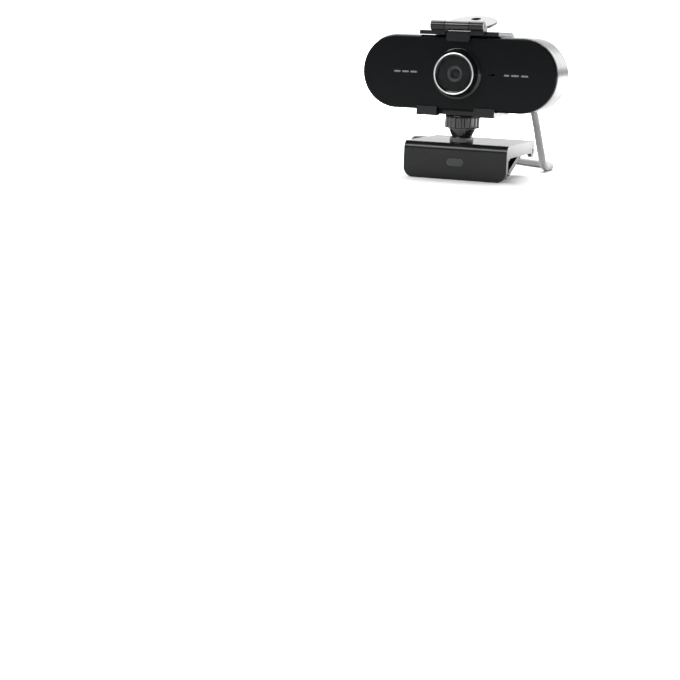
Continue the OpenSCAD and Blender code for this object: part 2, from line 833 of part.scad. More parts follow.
module usb_shell() color("silver") {
    translate([plug_x - 26.5, plug_y, plug_z]) rotate([0, -90, 0]) difference() {
        linear_extrude(12.2) rounded([-2.25, -6], [2.25, 6], 0.5);
        translate([0, 0, 0.4]) linear_extrude(13) rounded([-1.95, -5.7], [1.95, 5.7], 0.3);
        for (side = [-1, 1])
            translate([0, side * 3, 6]) cube([6, 2.2, 2.2], center = true);
    }
}

module usb_tongue() color("#e8e8e4")
    translate([plug_x - 37.5, plug_y - 5.6, plug_z - 1.85]) cube([10.5, 11.2, 1.7]);

clip_frame();
base_cover();
front_pad();
front_badge();
leg_pin();
rear_leg();
leg_nose();
swivel_collar();
ball_stud();
stud_washer();
stud_screw();
ball_seat();
ball_socket();
clamp_nut();
socket_screws();
bracket();
bracket_screws();
cover_pin();
privacy_cover();
front_plate();
front_housing();
rear_housing();
housing_screws();
lens_bezel();
lens_window();
lens_mask();
lens_barrel();
lens_element();
retaining_ring();
lens_holder();
image_sensor();
circuit_board();
board_screws();
microphone();
mic_gasket();
cable_header();
cable_grommet();
cord_top();
cord_drop();
cord_run();
cord_coil();
cord_tail();
cable_tie();
usb_plug();
usb_shell();
usb_tongue();
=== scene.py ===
import json
import math

import bmesh
import bpy
from mathutils import Matrix, Vector


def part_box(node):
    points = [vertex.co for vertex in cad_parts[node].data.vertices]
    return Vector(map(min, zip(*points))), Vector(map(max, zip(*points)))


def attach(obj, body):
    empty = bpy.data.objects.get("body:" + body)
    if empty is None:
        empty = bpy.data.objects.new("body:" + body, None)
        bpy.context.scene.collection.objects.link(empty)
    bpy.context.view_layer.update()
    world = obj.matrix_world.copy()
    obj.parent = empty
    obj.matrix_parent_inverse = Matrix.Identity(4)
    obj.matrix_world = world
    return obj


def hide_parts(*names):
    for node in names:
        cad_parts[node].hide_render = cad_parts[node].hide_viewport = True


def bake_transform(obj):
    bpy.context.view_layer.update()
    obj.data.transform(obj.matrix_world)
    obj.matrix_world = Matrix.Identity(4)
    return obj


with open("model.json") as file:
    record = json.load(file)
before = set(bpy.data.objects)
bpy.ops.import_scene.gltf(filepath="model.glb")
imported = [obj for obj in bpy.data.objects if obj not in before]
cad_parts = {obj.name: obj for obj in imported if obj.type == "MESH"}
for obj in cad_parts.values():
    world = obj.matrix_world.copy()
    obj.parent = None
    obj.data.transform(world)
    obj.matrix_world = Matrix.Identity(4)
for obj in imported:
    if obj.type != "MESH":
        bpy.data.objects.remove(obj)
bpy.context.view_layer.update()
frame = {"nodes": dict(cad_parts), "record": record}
RECORD = frame["record"]
BODY_OF = {n: b for b, ns in RECORD["behaviour"]["bodies"].items() for n in ns}
SLOT_OF = {s["node"]: s["material_slot"] for s in RECORD["subparts"]}
MM = 0.001


# ------------------------------------------------------------------ camera

CAMERA_PLACE = (0.2139, -0.6732, 0.0696)
AZIMUTH, ELEVATION, ROLL = 22.5, 12.4, 1.9
FOCAL_LENGTH, SENSOR_WIDTH = 75, 36


def add_camera():
    """Looks at the front from the right and a little above, with the picture turned slightly."""
    azimuth, elevation, roll = (math.radians(a) for a in (AZIMUTH, ELEVATION, ROLL))
    look = Vector((-math.sin(azimuth) * math.cos(elevation),
                   math.cos(azimuth) * math.cos(elevation), -math.sin(elevation)))
    level = Vector((math.cos(azimuth), math.sin(azimuth), 0))
    upright = level.cross(look)
    right = level * math.cos(roll) + upright * math.sin(roll)
    up = upright * math.cos(roll) - level * math.sin(roll)
    data = bpy.data.cameras.new("camera")
    data.sensor_width = SENSOR_WIDTH
    data.lens = FOCAL_LENGTH
    data.clip_start = 0.01
    data.clip_end = 60
    camera = bpy.data.objects.new("camera", data)
    turn = Matrix((right, up, -look)).transposed()
    camera.matrix_world = Matrix.Translation(CAMERA_PLACE) @ turn.to_4x4()
    bpy.context.scene.collection.objects.link(camera)
    bpy.context.scene.camera = camera


add_camera()


# ------------------------------------------------------------------ materials

class Nodes:
    """A small helper that adds shader nodes and links them."""

    def __init__(self, tree):
        self.tree = tree
        self.tree.nodes.clear()

    def add(self, kind, inputs=None, **settings):
        node = self.tree.nodes.new("ShaderNode" + kind)
        for key, value in settings.items():
            setattr(node, key, value)
        for key, value in (inputs or {}).items():
            socket = node.inputs[key]
            if isinstance(value, bpy.types.NodeSocket):
                self.tree.links.new(value, socket)
            else:
                socket.default_value = value
        return node

    def noise(self, where, scale, detail=3.0, rough=0.5, distort=0.0):
        return self.add("TexNoise", {"Vector": where, "Scale": scale, "Detail": detail,
                                     "Roughness": rough, "Distortion": distort}).outputs["Fac"]

    def span(self, value, low, high, start=0.0, end=1.0):
        return self.add("MapRange", {"Value": value, "From Min": low, "From Max": high,
                                     "To Min": start, "To Max": end}).outputs["Result"]

    def mix(self, factor, a, b):
        node = self.add("Mix", data_type="RGBA")
        for index, value in ((0, factor), (6, a), (7, b)):
            if isinstance(value, bpy.types.NodeSocket):
                self.tree.links.new(value, node.inputs[index])
            else:
                node.inputs[index].default_value = value
        return node.outputs[2]

    def plus(self, a, b, use_clamp=False):
        node = self.add("Math", {0: a, 1: b}, operation="ADD", use_clamp=use_clamp)
        return node.outputs[0]

    def times(self, a, b):
        return self.add("Math", {0: a, 1: b}, operation="MULTIPLY").outputs[0]


def new_material(name):
    mat = bpy.data.materials.new(name)
    mat.use_nodes = True
    return mat, Nodes(mat.node_tree)


def rgba(color, factor=1.0):
    return tuple(min(1.0, c * factor) for c in color) + (1.0,)


# noise scales: tone changes over about 20 mm, rubbed patches over about 8 mm
TONE_SCALE, PATCH_SCALE = 45, 130
# hairlines are noise stretched along one slanting direction
HAIR_STRETCH, HAIR_TURN = (900, 60, 260), (0.3, 0.5, 0.7)
# what full wear adds: paler patches, rougher patches and rougher hairlines
WEAR_PALE, WEAR_PATCH, WEAR_HAIR = 0.35, 0.16, 0.22
# how a worn colour differs from a new one
WORN_GAIN, WORN_LIFT = 1.35, 0.003
LEAST_GRAIN = 0.02
GRAIN_DEPTH = 0.06 * MM


def plastic(name, color, rough, spec=0.5, coat=0.0, grain=0.0, grain_size=0.35, wear=0.3,
            vary=0.12, metallic=0.0, stretch=(1, 1, 1)):
    """Moulded or turned stuff: slow tone changes, fine grain, faint rubbed patches and hairlines."""
    mat, n = new_material(name)
    where = n.add("Mapping", {"Vector": n.add("TexCoord").outputs["Object"],
                              "Scale": stretch}).outputs["Vector"]
    slow = n.noise(where, TONE_SCALE, 4, 0.6)
    fine = n.noise(where, 1 / (grain_size * MM), 3, 0.6)
    patch = n.span(n.noise(where, PATCH_SCALE, 5, 0.65, 0.8), 0.52, 0.72)
    hair_at = n.add("Mapping", {"Vector": where, "Scale": HAIR_STRETCH,
                                "Rotation": HAIR_TURN}).outputs["Vector"]
    hair = n.span(n.noise(hair_at, 1.0, 2, 0.5), 0.70, 0.76)
    tone = n.mix(slow, rgba(color, 1 - vary), rgba(color, 1 + vary))
    rubbed = rgba([c * WORN_GAIN + WORN_LIFT for c in color])
    tone = n.mix(n.times(patch, WEAR_PALE * wear), tone, rubbed)
    total = n.span(slow, 0.3, 0.7, rough * 0.9, rough * 1.1)
    total = n.plus(total, n.times(patch, WEAR_PATCH * wear))
    total = n.plus(total, n.times(hair, WEAR_HAIR * wear), use_clamp=True)
    height = n.add("Bump", {"Strength": max(LEAST_GRAIN, grain), "Distance": GRAIN_DEPTH,
                            "Height": fine})
    shader = n.add("BsdfPrincipled", {
        "Base Color": tone, "Roughness": total, "Normal": height.outputs["Normal"]})
    shader.inputs["Metallic"].default_value = metallic
    shader.inputs["Specular IOR Level"].default_value = spec
    shader.inputs["Coat Weight"].default_value = coat
    shader.inputs["Coat Roughness"].default_value = 0.06
    n.add("OutputMaterial", {"Surface": shader.outputs[0]})
    return mat


def glass(name, color, rough=0.02, ior=1.5, coating=None):
    """Optical glass with faint smears and, where given, a coloured coating."""
    mat, n = new_material(name)
    where = n.add("TexCoord").outputs["Object"]
    smear = n.noise(where, 160, 5, 0.6, 0.6)
    fine = n.noise(where, 2200, 2)
    height = n.add("Bump", {"Strength": 0.02, "Distance": 0.00002, "Height": fine})
    shader = n.add("BsdfPrincipled", {
        "Base Color": n.mix(smear, rgba(color, 0.92), rgba(color, 1.06)),
        "Roughness": n.span(smear, 0.45, 0.8, rough, rough + 0.03),
        "Normal": height.outputs["Normal"]})
    shader.inputs["Transmission Weight"].default_value = 1.0
    shader.inputs["IOR"].default_value = ior
    if coating:
        shader.inputs["Specular Tint"].default_value = rgba(coating)
        shader.inputs["Coat Weight"].default_value = 0.4
        shader.inputs["Coat Tint"].default_value = rgba(coating)
    n.add("OutputMaterial", {"Surface": shader.outputs[0]})
    return mat


def board_material(name):
    """Green solder mask with faint tracks under it."""
    mat, n = new_material(name)
    where = n.add("TexCoord").outputs["Object"]
    tracks = n.add("TexVoronoi", {"Vector": where, "Scale": 420.0},
                   distance="MANHATTAN").outputs["Distance"]
    line = n.span(tracks, 0.42, 0.46)
    height = n.add("Bump", {"Strength": 0.2, "Distance": 0.00003, "Height": line})
    shader = n.add("BsdfPrincipled", {
        "Base Color": n.mix(line, (0.008, 0.07, 0.025, 1), (0.02, 0.14, 0.05, 1)),
        "Roughness": n.span(n.noise(where, 300), 0.3, 0.7, 0.25, 0.4),
        "Normal": height.outputs["Normal"]})
    n.add("OutputMaterial", {"Surface": shader.outputs[0]})
    return mat


PLASTICS = {
    "gloss_black": dict(color=(0.0050, 0.0054, 0.0060), rough=0.11, spec=0.35, wear=0.25, vary=0.1),
    "face_black": dict(color=(0.0036, 0.0041, 0.0045), rough=0.16, spec=0.07, wear=0.2, vary=0.15),
    "satin_black": dict(color=(0.0055, 0.0059, 0.0066), rough=0.22, spec=0.25, grain=0.1),
    "satin_grey": dict(color=(0.0078, 0.0083, 0.0091), rough=0.24, spec=0.25, grain=0.1,
                       wear=0.12, vary=0.08),
    "nut_black": dict(color=(0.007, 0.0073, 0.008), rough=0.17, spec=0.6, grain=0.04, wear=0.2),
    "rubber_black": dict(color=(0.014, 0.014, 0.015), rough=0.62, spec=0.35, grain=0.5),
    "mask_black": dict(color=(0.0035, 0.0035, 0.004), rough=0.5, spec=0.2, grain=0.05),
    "plug_black": dict(color=(0.014, 0.0145, 0.015), rough=0.42, grain=0.35),
    "badge_grey": dict(color=(0.008, 0.0085, 0.009), rough=0.2, grain=0.05),
    "ring_grey": dict(color=(0.075, 0.077, 0.08), rough=0.34, grain=0.05),
    "print_grey": dict(color=(0.12, 0.12, 0.12), rough=0.5, grain=0.1),
    "cord_grey": dict(color=(0.235, 0.24, 0.242), rough=0.38, grain=0.08, grain_size=0.5,
                      wear=0.4, vary=0.07),
    "nylon": dict(color=(0.62, 0.62, 0.58), rough=0.42, grain=0.1),
    "header_cream": dict(color=(0.66, 0.63, 0.53), rough=0.45, grain=0.1),
    "tongue_white": dict(color=(0.7, 0.7, 0.67), rough=0.4, grain=0.05),
    "sensor_blue": dict(color=(0.03, 0.07, 0.12), rough=0.12, coat=0.6),
    "rim_silver": dict(color=(0.62, 0.62, 0.63), rough=0.3, metallic=1.0, grain=0.06,
                       wear=0.2, vary=0.05),
    "steel": dict(color=(0.56, 0.56, 0.55), rough=0.28, metallic=1.0, grain=0.1,
                  vary=0.06, stretch=(1, 1, 6)),
    "plug_steel": dict(color=(0.62, 0.62, 0.6), rough=0.24, metallic=1.0, grain=0.08,
                       vary=0.05, stretch=(1, 8, 1)),
    "mic_can": dict(color=(0.5, 0.5, 0.46), rough=0.35, metallic=1.0),
}
MATERIALS = {name: plastic(name, **recipe) for name, recipe in PLASTICS.items()}
MATERIALS["window_glass"] = glass("window_glass", (0.7, 0.71, 0.73), rough=0.0, ior=1.14)
MATERIALS["lens_glass"] = glass("lens_glass", (0.42, 0.45, 0.5), ior=1.4, coating=(0.6, 0.63, 0.8))
MATERIALS["board_green"] = board_material("board_green")


# ------------------------------------------------------------------ mesh helpers

def new_object(name, mesh):
    obj = bpy.data.objects.new(name, mesh)
    bpy.context.scene.collection.objects.link(obj)
    return obj


def object_of(bm, name):
    """Turns bm into a named object."""
    mesh = bpy.data.meshes.new(name)
    bm.to_mesh(mesh)
    bm.free()
    return new_object(name, mesh)


# edges sharper than this are rounded
SHARP_ANGLE = 28


def paint(obj, material):
    obj.data.materials.clear()
    obj.data.materials.append(MATERIALS[material])


def smooth(mesh, angle):
    for face in mesh.polygons:
        face.use_smooth = True
    mesh.set_sharp_from_angle(angle=math.radians(angle))


def rounded_edges(obj, width, segments):
    """Rounds the edges of obj, keeps the result as its mesh, and shades it."""
    edge = obj.modifiers.new("edges", "BEVEL")
    edge.width = width * MM
    edge.segments = segments
    edge.limit_method = "ANGLE"
    edge.angle_limit = math.radians(SHARP_ANGLE)
    edge.use_clamp_overlap = True
    edge.miter_outer = "MITER_ARC"
    graph = bpy.context.evaluated_depsgraph_get()
    mesh = bpy.data.meshes.new_from_object(obj.evaluated_get(graph))
    obj.modifiers.clear()
    obj.data = mesh
    smooth(mesh, 42)
    normals = obj.modifiers.new("normals", "WEIGHTED_NORMAL")
    normals.keep_sharp = True


def finish_piece(obj, node, material=None):
    """obj takes the CAD node's place: its body, its slot and a finish."""
    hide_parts(node)
    extra_piece(obj, BODY_OF[node], SLOT_OF[node], material)
    return obj


def extra_piece(obj, body, slot, material=None):
    """obj rides on a body. Its finish is the slot's own unless another is given."""
    paint(obj, material or slot)
    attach(obj, body)


def from_node(node, width, segments, material=None):
    """A copy of a CAD node's shape with its edges rounded, as moulded or pressed parts have."""
    source = frame["nodes"][node]
    bm = bmesh.new()
    bm.from_mesh(source.data)
    bm.transform(source.matrix_world)
    bmesh.ops.remove_doubles(bm, verts=bm.verts, dist=0.002 * MM)
    bmesh.ops.dissolve_limit(bm, angle_limit=math.radians(0.6), verts=bm.verts, edges=bm.edges)
    obj = object_of(bm, node + "_shape")
    if "custom_normal" in obj.data.attributes:
        obj.data.attributes.remove(obj.data.attributes["custom_normal"])
    rounded_edges(obj, width, segments)
    return finish_piece(obj, node, material)


def skin(name, rings, end_cap=False, looped=False):
    """A surface through rings of points, each ring a closed loop. A looped one joins the last
    ring to the first."""
    bm = bmesh.new()
    rows = [[bm.verts.new(p) for p in ring] for ring in rings]
    if looped:
        rows.append(rows[0])
    count = len(rows[0])
    for a, b in zip(rows, rows[1:]):
        for k in range(count):
            m = (k + 1) % count
            bm.faces.new((a[k], a[m], b[m], b[k]))
    if end_cap:
        bm.faces.new(rows[-1])
    bmesh.ops.recalc_face_normals(bm, faces=bm.faces)
    return object_of(bm, name)


def turned(name, profile, centre, segments, axis="Y-", wobble=None):
    """A body turned about an axis through centre. The profile is (radius, along) in mm.
    wobble changes the radius with the angle, as ribs do."""
    x, y, z = centre
    rings = []
    for radius, along in profile:
        ring = []
        for k in range(segments):
            angle = 2 * math.pi * k / segments
            r = (radius + (wobble(angle, radius) if wobble else 0)) * MM
            u, v = r * math.cos(angle), r * math.sin(angle)
            if axis == "Z":
                ring.append((x + u, y + v, z + along * MM))
            else:
                forward = along * MM if axis == "Y+" else -along * MM
                ring.append((x + u, y + forward, z + v))
        rings.append(ring)
    obj = skin(name, rings, looped=True)
    smooth(obj.data, 50)
    return obj


def middle_of(node):
    low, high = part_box(node)
    return [(a + b) / 2 for a, b in zip(low, high)]


# ------------------------------------------------------------------ cord

CORD_R = 1.9
CORD_D = 2 * CORD_R
ROUTE = [
    (24, 12.5, 44.5), (24, 17.5, 44), (24, 22, 41.5), (24, 25.5, 37.5), (24, 28, 33),
    (24.5, 31, 27), (25, 34, 21), (25.5, 37.5, 15), (26, 41.5, 9.5), (26, 46, 5),
    (26, 51.5, 2.6), (25.5, 58, 1.9), (25.5, 64.5, 1.9), (21.5, 70.5, 1.9), (15.5, 75, 1.9),
    (8.5, 79.5, 1.9), (1.5, 85.5, 1.9), (-12.5, 99.5, 1.9),
]
# how much further back the cord hangs at some of the route's points: it keeps clear of the
# clip's rear edge when the head tilts back
SET_BACK = {3: 0.5, 4: 1.6, 5: 2.5, 6: 2.9, 7: 2.4, 8: 1.5, 9: 0.7}
TAIL = [
    (-6, 88.4, 9.4), (-4.6, 93.5, 8.4), (-3.8, 99.5, 6), (-4.4, 106, 4.4), (-7.8, 112.2, 4.2),
    (-13.5, 116.4, 4.2), (-20, 117.5, 4.2),
]
# the route's points where the upper and the middle stretch end
TOP_END, DROP_END = 6, 11
# pieces of the smooth curve between two points
CURVE_STEPS = 6

COIL_CENTRE = (-30.0, 82.0)
# the middle row's radius; the other rows lie a cord's diameter outside and inside it
COIL_RADIUS = 21.0
# the turns in the order they are laid: (row, layer), counted from outside and from below
TURNS = [(0, 0), (1, 0), (2, 0), (2, 1), (1, 1), (0, 1), (2, 2), (1, 2), (0, 2)]
FIRST_ANGLE, LAST_ANGLE, ANGLE_STEP = 45, 8 * 360 + 15, 6
# a turn steps over to its next place between these angles
STEP_FROM, STEP_WIDTH = 240, 60
# one step has to cross from the outermost row to the innermost, over the turns between:
# (radius, height) on its way
CROSSING_TURN = 5
CROSSING_FROM, CROSSING_WIDTH = CROSSING_TURN * 360 + 225, 90
CROSSING = [(24.8, 5.7), (27.0, 7.8), (25.9, 12.2), (21.5, 13.4), (18.0, 13.0), (16.4, 11.2),
            (17.2, 9.5)]
# the step in which this many turns are laid swings in by a radius, round the turn beside it
SWING_AFTER = 3


def catmull(points):
    """A smooth curve through route points."""
    line = []
    last = len(points) - 1
    for i in range(last):
        a, b = Vector(points[max(i - 1, 0)]), Vector(points[i])
        c, d = Vector(points[i + 1]), Vector(points[min(i + 2, last)])
        for s in range(CURVE_STEPS):
            t = s / CURVE_STEPS
            line.append(0.5 * (2 * b + (c - a) * t + (2 * a - 5 * b + 4 * c - d) * t * t
                               + (3 * b - a - 3 * c + d) * t ** 3))
    line.append(Vector(points[last]))
    return line


def ease(t):
    t = min(1.0, max(0.0, t))
    return t * t * (3 - 2 * t)


def between(a, b, f):
    return [u + (v - u) * f for u, v in zip(a, b)]


def coil_line():
    """The cord's turns: three rows and three layers, stepping over at the front of the coil."""
    places = [(COIL_RADIUS + (1 - row) * CORD_D, CORD_R + layer * CORD_D) for row, layer in TURNS]
    line = []
    for angle in range(FIRST_ANGLE, LAST_ANGLE + 1, ANGLE_STEP):
        laid = max(0, (angle - STEP_FROM) // 360 + 1)
        stepped = (angle - STEP_FROM) % 360
        crossed = (angle - CROSSING_FROM) / CROSSING_WIDTH
        if 0 <= crossed <= 1:
            along = crossed * (len(CROSSING) - 1)
            i = min(int(along), len(CROSSING) - 2)
            r, z = between(CROSSING[i], CROSSING[i + 1], along - i)
        elif laid and stepped < STEP_WIDTH:
            f = ease(stepped / STEP_WIDTH)
            r, z = between(places[laid - 1], places[laid], f)
            if laid == SWING_AFTER:
                r -= CORD_R * math.sin(math.pi * f)
        else:
            r, z = places[laid]
        a = math.radians(angle)
        line.append(Vector((COIL_CENTRE[0] + r * math.cos(a), COIL_CENTRE[1] + r * math.sin(a), z)))
    return line


def relax(line, rounds, fixed=3):
    """Takes the corners out of a line of points, but keeps its ends."""
    points = list(line)
    for _ in range(rounds):
        points = [p if i < fixed or i >= len(points) - fixed
                  else (points[i - 1] + 2 * p + points[i + 1]) / 4 for i, p in enumerate(points)]
    return points


def length_of(line):
    return sum((b - a).length for a, b in zip(line, line[1:]))


def frames_along(line):
    """Two cross directions at each point, carried along so that the tube doesn't twist."""
    out = []
    side = Vector((1, 0, 0))
    for i in range(len(line)):
        ahead = (line[min(i + 1, len(line) - 1)] - line[max(i - 1, 0)]).normalized()
        side = (side - ahead * side.dot(ahead)).normalized()
        out.append((side.copy(), ahead.cross(side)))
    return out


def tube(name, line, frames, sides=16, end_cap=False):
    turns = [2 * math.pi * k / sides for k in range(sides)]
    rings = [[(point + CORD_R * (math.cos(t) * u + math.sin(t) * v)) * MM for t in turns]
             for point, (u, v) in zip(line, frames)]
    obj = skin(name, rings, end_cap=end_cap)
    smooth(obj.data, 60)
    paint(obj, "cord_grey")
    return obj


def cord_line():
    """The middle of the cord from its outlet to its plug."""
    route = catmull([(x, y + SET_BACK.get(i, 0), z) for i, (x, y, z) in enumerate(ROUTE)])
    whole = route + coil_line()[1:] + catmull(TAIL)[1:]
    # rounds off the corners where the route, the coil and the tail meet
    loose = len(route) - CURVE_STEPS
    line = whole[:loose] + relax(whole[loose:], 4)
    # nothing of the cord sinks into the surface it lies on
    return [Vector((p.x, p.y, max(p.z, CORD_R))) for p in line]


def add_cord():
    line = cord_line()
    frames = frames_along(line)
    a, b = TOP_END * CURVE_STEPS, DROP_END * CURVE_STEPS
    top = tube("cord_upper", line[:a + 1], frames[:a + 1])
    drop = tube("cord_middle", line[a:b + 1], frames[a:b + 1])
    main = tube("cord_lower", line[b:], frames[b:], end_cap=True)
    points = [p * MM for p in line]
    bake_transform(top)
    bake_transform(drop)
    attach(main, "neck")
    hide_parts("cord_top")
    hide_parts("cord_drop")
    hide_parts("cord_run", "cord_coil", "cord_tail")
    lengths = [length_of(points[:a + 1]), length_of(points[a:b + 1]), length_of(points[b:])]
    return top, drop, main, points, (a, b), lengths


top_cord, drop_cord, main_cord, cord_points, (cut_a, cut_b), cord_lengths = add_cord()


# ------------------------------------------------------------------ camera body

# (middle, width) of each bar, across the face
BARS = [(-30.4, 3.4), (-26.2, 3.4), (-22.0, 3.4), (24.2, 2.6), (28.2, 3.8), (32.9, 3.4)]
BAR_HALF_HEIGHT = 0.42
BAR_SINK, BAR_RISE = 0.01, 0.03


def add_print_marks():
    """Small plain bars beside the lens, where such webcams carry lettering."""
    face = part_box("front_plate")[0][1]
    middle = middle_of("front_plate")[2]
    tall = BAR_HALF_HEIGHT * MM
    steps = 8
    bm = bmesh.new()
    for x, width in BARS:
        loop = []
        for k in range(2 * steps):
            angle = math.pi * (k + 0.5) / steps - math.pi / 2
            side = 1 if math.cos(angle) > 0 else -1
            loop.append((x * MM + side * (width / 2 * MM - tall) + tall * math.cos(angle),
                         middle + tall * math.sin(angle)))
        back = [bm.verts.new((u, face + BAR_SINK * MM, v)) for u, v in loop]
        front = [bm.verts.new((u, face - BAR_RISE * MM, v)) for u, v in loop]
        bm.faces.new(front)
        for k in range(len(loop)):
            m = (k + 1) % len(loop)
            bm.faces.new((back[k], back[m], front[m], front[k]))
    bmesh.ops.recalc_face_normals(bm, faces=bm.faces)
    extra_piece(object_of(bm, "print_marks"), "head", "gloss_black", "print_grey")


FLARE_FOOT, FLARE_NARROWS, FLARE_STEPS = 11.85, 1.95, 12
BEAD_R, BEAD_SET_BACK = 9.42, 0.12
BEAD_HALF_WIDTH, BEAD_HALF_DEPTH, BEAD_SIDES = 0.34, 0.22, 12


def add_bezel():
    """The flared bezel, a hollow cone from the face to a rounded rim, and the rim's bright bead."""
    x, _, z = middle_of("lens_bezel")
    low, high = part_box("lens_bezel")
    front, back = -low[1] / MM, -high[1] / MM
    face = -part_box("front_plate")[0][1] / MM
    foot = [(12.0, face + 0.02), (12.0, face + 0.35), (11.9, face + 0.5)]
    flare = []
    for i in range(1, FLARE_STEPS + 1):
        t = i / FLARE_STEPS * math.pi / 2
        flare.append((FLARE_FOOT - FLARE_NARROWS * math.sin(t) ** 1.1,
                      face + 0.55 + (front - face - 1.5) * (1 - math.cos(t))))
    rim = [(9.85, front - 0.62), (9.78, front - 0.3), (9.6, front - 0.1), (9.35, front - 0.01),
           (9.15, front), (8.95, front - 0.06), (8.8, front - 0.22), (8.72, front - 0.45),
           (8.4, front - 0.55)]
    inside = [(8.4, back), (10.4, back), (10.4, face + 0.02)]
    bezel = turned("bezel", foot + flare + rim + inside, (x, 0, z), segments=160)
    finish_piece(bezel, "lens_bezel")
    bead = []
    for k in range(BEAD_SIDES):
        angle = 2 * math.pi * k / BEAD_SIDES
        bead.append((BEAD_R + BEAD_HALF_WIDTH * math.cos(angle),
                     front - BEAD_SET_BACK + BEAD_HALF_DEPTH * math.sin(angle)))
    ring = turned("bright_rim", bead, (x, 0, z), segments=160)
    extra_piece(ring, "head", "gloss_black", "rim_silver")


def add_lens_rings():
    """The stepped throat round the front lens."""
    x, _, z = middle_of("lens_element")
    front = -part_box("lens_barrel")[0][1] / MM
    profile = [(3.25, front - 2.8), (3.25, front - 0.02), (3.1, front + 0.04), (2.95, front - 0.1),
               (2.75, front - 0.5), (2.6, front - 0.55), (2.45, front - 1.1), (2.3, front - 1.15),
               (2.1, front - 1.8), (1.95, front - 1.85), (1.8, front - 2.6), (1.8, front - 2.8)]
    throat = turned("lens_throat", profile, (x, 0, z), segments=96)
    extra_piece(throat, "head", "ring_grey")


SLEEVE_R, SLEEVE_TAPER, SLEEVE_RIBS = 3.2, 0.75, 5
SLEEVE_BORE = 1.92
# each rib of the sleeve: (how far its profile drops, how far along the rib)
RIB_PROFILE = [(0, 0), (0, 0.55), (0.12, 0.62), (0.5, 0.66), (0.55, 0.9), (0.15, 0.96)]


def add_grommet():
    """The strain relief: a flange and a ribbed, tapering sleeve."""
    x, _, z = middle_of("cable_grommet")
    low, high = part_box("cable_grommet")
    inner, end = low[1] / MM, high[1] / MM
    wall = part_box("rear_housing")[1][1] / MM
    profile = [(SLEEVE_BORE, inner), (4.35, inner), (4.4, inner + 1), (3.2, wall - 1.85),
               (3.2, wall + 0.05), (3.8, wall + 0.1), (3.95, wall + 0.3), (3.9, wall + 0.65),
               (3.6, wall + 0.95), (3.3, wall + 1.1)]
    start = wall + 1.3
    pitch = (end - 0.7 - start) / SLEEVE_RIBS
    for i in range(SLEEVE_RIBS):
        y = start + i * pitch
        r = SLEEVE_R - SLEEVE_TAPER * (y - start) / (end - start)
        profile += [(r - drop, y + along * pitch) for drop, along in RIB_PROFILE]
    profile += [(2.5, end - 0.6), (2.45, end - 0.2), (2.3, end - 0.02), (SLEEVE_BORE, end)]
    sleeve = turned("strain_relief", profile, (x, 0, z), axis="Y+", segments=64)
    finish_piece(sleeve, "cable_grommet")


add_print_marks()
add_bezel()
add_lens_rings()
add_grommet()
from_node("front_plate", 0.12, 3, "face_black")
from_node("front_housing", 0.18, 3)
from_node("rear_housing", 0.25, 3)


# ------------------------------------------------------------------ bracket, joint and clip

NUT_RIBS, RIB_DEPTH = 18, 0.62
# the ribs are cut only into the nut's side, outside this radius
RIBS_FROM = 7.2


def add_nut():
    """The clamp nut with rounded ribs."""
    x, y, _ = middle_of("clamp_nut")
    low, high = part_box("clamp_nut")
    bottom, top = low[2] / MM, high[2] / MM

    def ribbed(angle, radius):
        if radius < RIBS_FROM:
            return 0
        return -RIB_DEPTH * ease(0.5 - 1.15 * math.cos(NUT_RIBS * angle))

    outside = [(6.72, bottom + 0.3), (6.95, bottom + 0.02), (7.6, bottom), (8.1, bottom + 0.08),
               (8.38, bottom + 0.28), (8.5, bottom + 0.6), (8.5, bottom + 1.6),
               (8.5, top - 1.6), (8.5, top - 0.6), (8.38, top - 0.28), (8.1, top - 0.08),
               (7.6, top), (6.95, top - 0.02), (6.72, top - 0.3)]
    nut = turned("ribbed_nut", outside, (x, y, 0), axis="Z", segments=16 * NUT_RIBS, wobble=ribbed)
    finish_piece(nut, "clamp_nut", "nut_black")


GRIPS, GRIP_PITCH, FIRST_GRIP = 5, 2.4, 7
GRIP_LONG, GRIP_SHORT = 11.5, 10
GRIP_HALF_WIDTH, GRIP_RISE, GRIP_SINK = 0.55, 0.38, 0.08


def add_plug_grips():
    """Raised grip ridges on both broad sides of the plug."""
    low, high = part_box("usb_plug")
    y = middle_of("usb_plug")[1]
    bm = bmesh.new()
    for side, face in ((-1, low[2]), (1, high[2])):
        for i in range(GRIPS):
            x = low[0] + (FIRST_GRIP + GRIP_PITCH * i) * MM
            half = (GRIP_SHORT if i % 2 else GRIP_LONG) / 2 * MM
            rows = []
            for k in range(7):
                angle = math.pi * k / 6
                u = x + GRIP_HALF_WIDTH * MM * math.cos(angle)
                w = face + side * (GRIP_RISE * math.sin(angle) - GRIP_SINK) * MM
                rows.append([bm.verts.new((u, y - half, w)), bm.verts.new((u, y + half, w))])
            for a, b in zip(rows, rows[1:]):
                bm.faces.new((a[0], a[1], b[1], b[0]))
            bm.faces.new([row[0] for row in rows])
            bm.faces.new([row[1] for row in reversed(rows)])
    bmesh.ops.recalc_face_normals(bm, faces=bm.faces)
    obj = object_of(bm, "plug_grips")
    smooth(obj.data, 45)
    extra_piece(obj, "neck", "plug_black")
    return obj


add_nut()
from_node("bracket", 0.28, 3)
from_node("privacy_cover", 0.22, 3, "gloss_black")
from_node("clip_frame", 0.45, 4)
from_node("front_badge", 0.12, 2)
from_node("base_cover", 0.2, 2)
from_node("front_pad", 0.15, 2)
from_node("rear_leg", 0.3, 3)
from_node("leg_nose", 0.15, 2)
from_node("swivel_collar", 0.2, 3, "nut_black")
from_node("ball_socket", 0.2, 3, "nut_black")
for small in ("bracket_screws", "housing_screws", "cover_pin", "leg_pin", "retaining_ring",
              "ball_stud"):
    from_node(small, 0.08, 2)
plug = from_node("usb_plug", 0.5, 4)
shell = from_node("usb_shell", 0.12, 2)
tie = from_node("cable_tie", 0.25, 2)
grips = add_plug_grips()

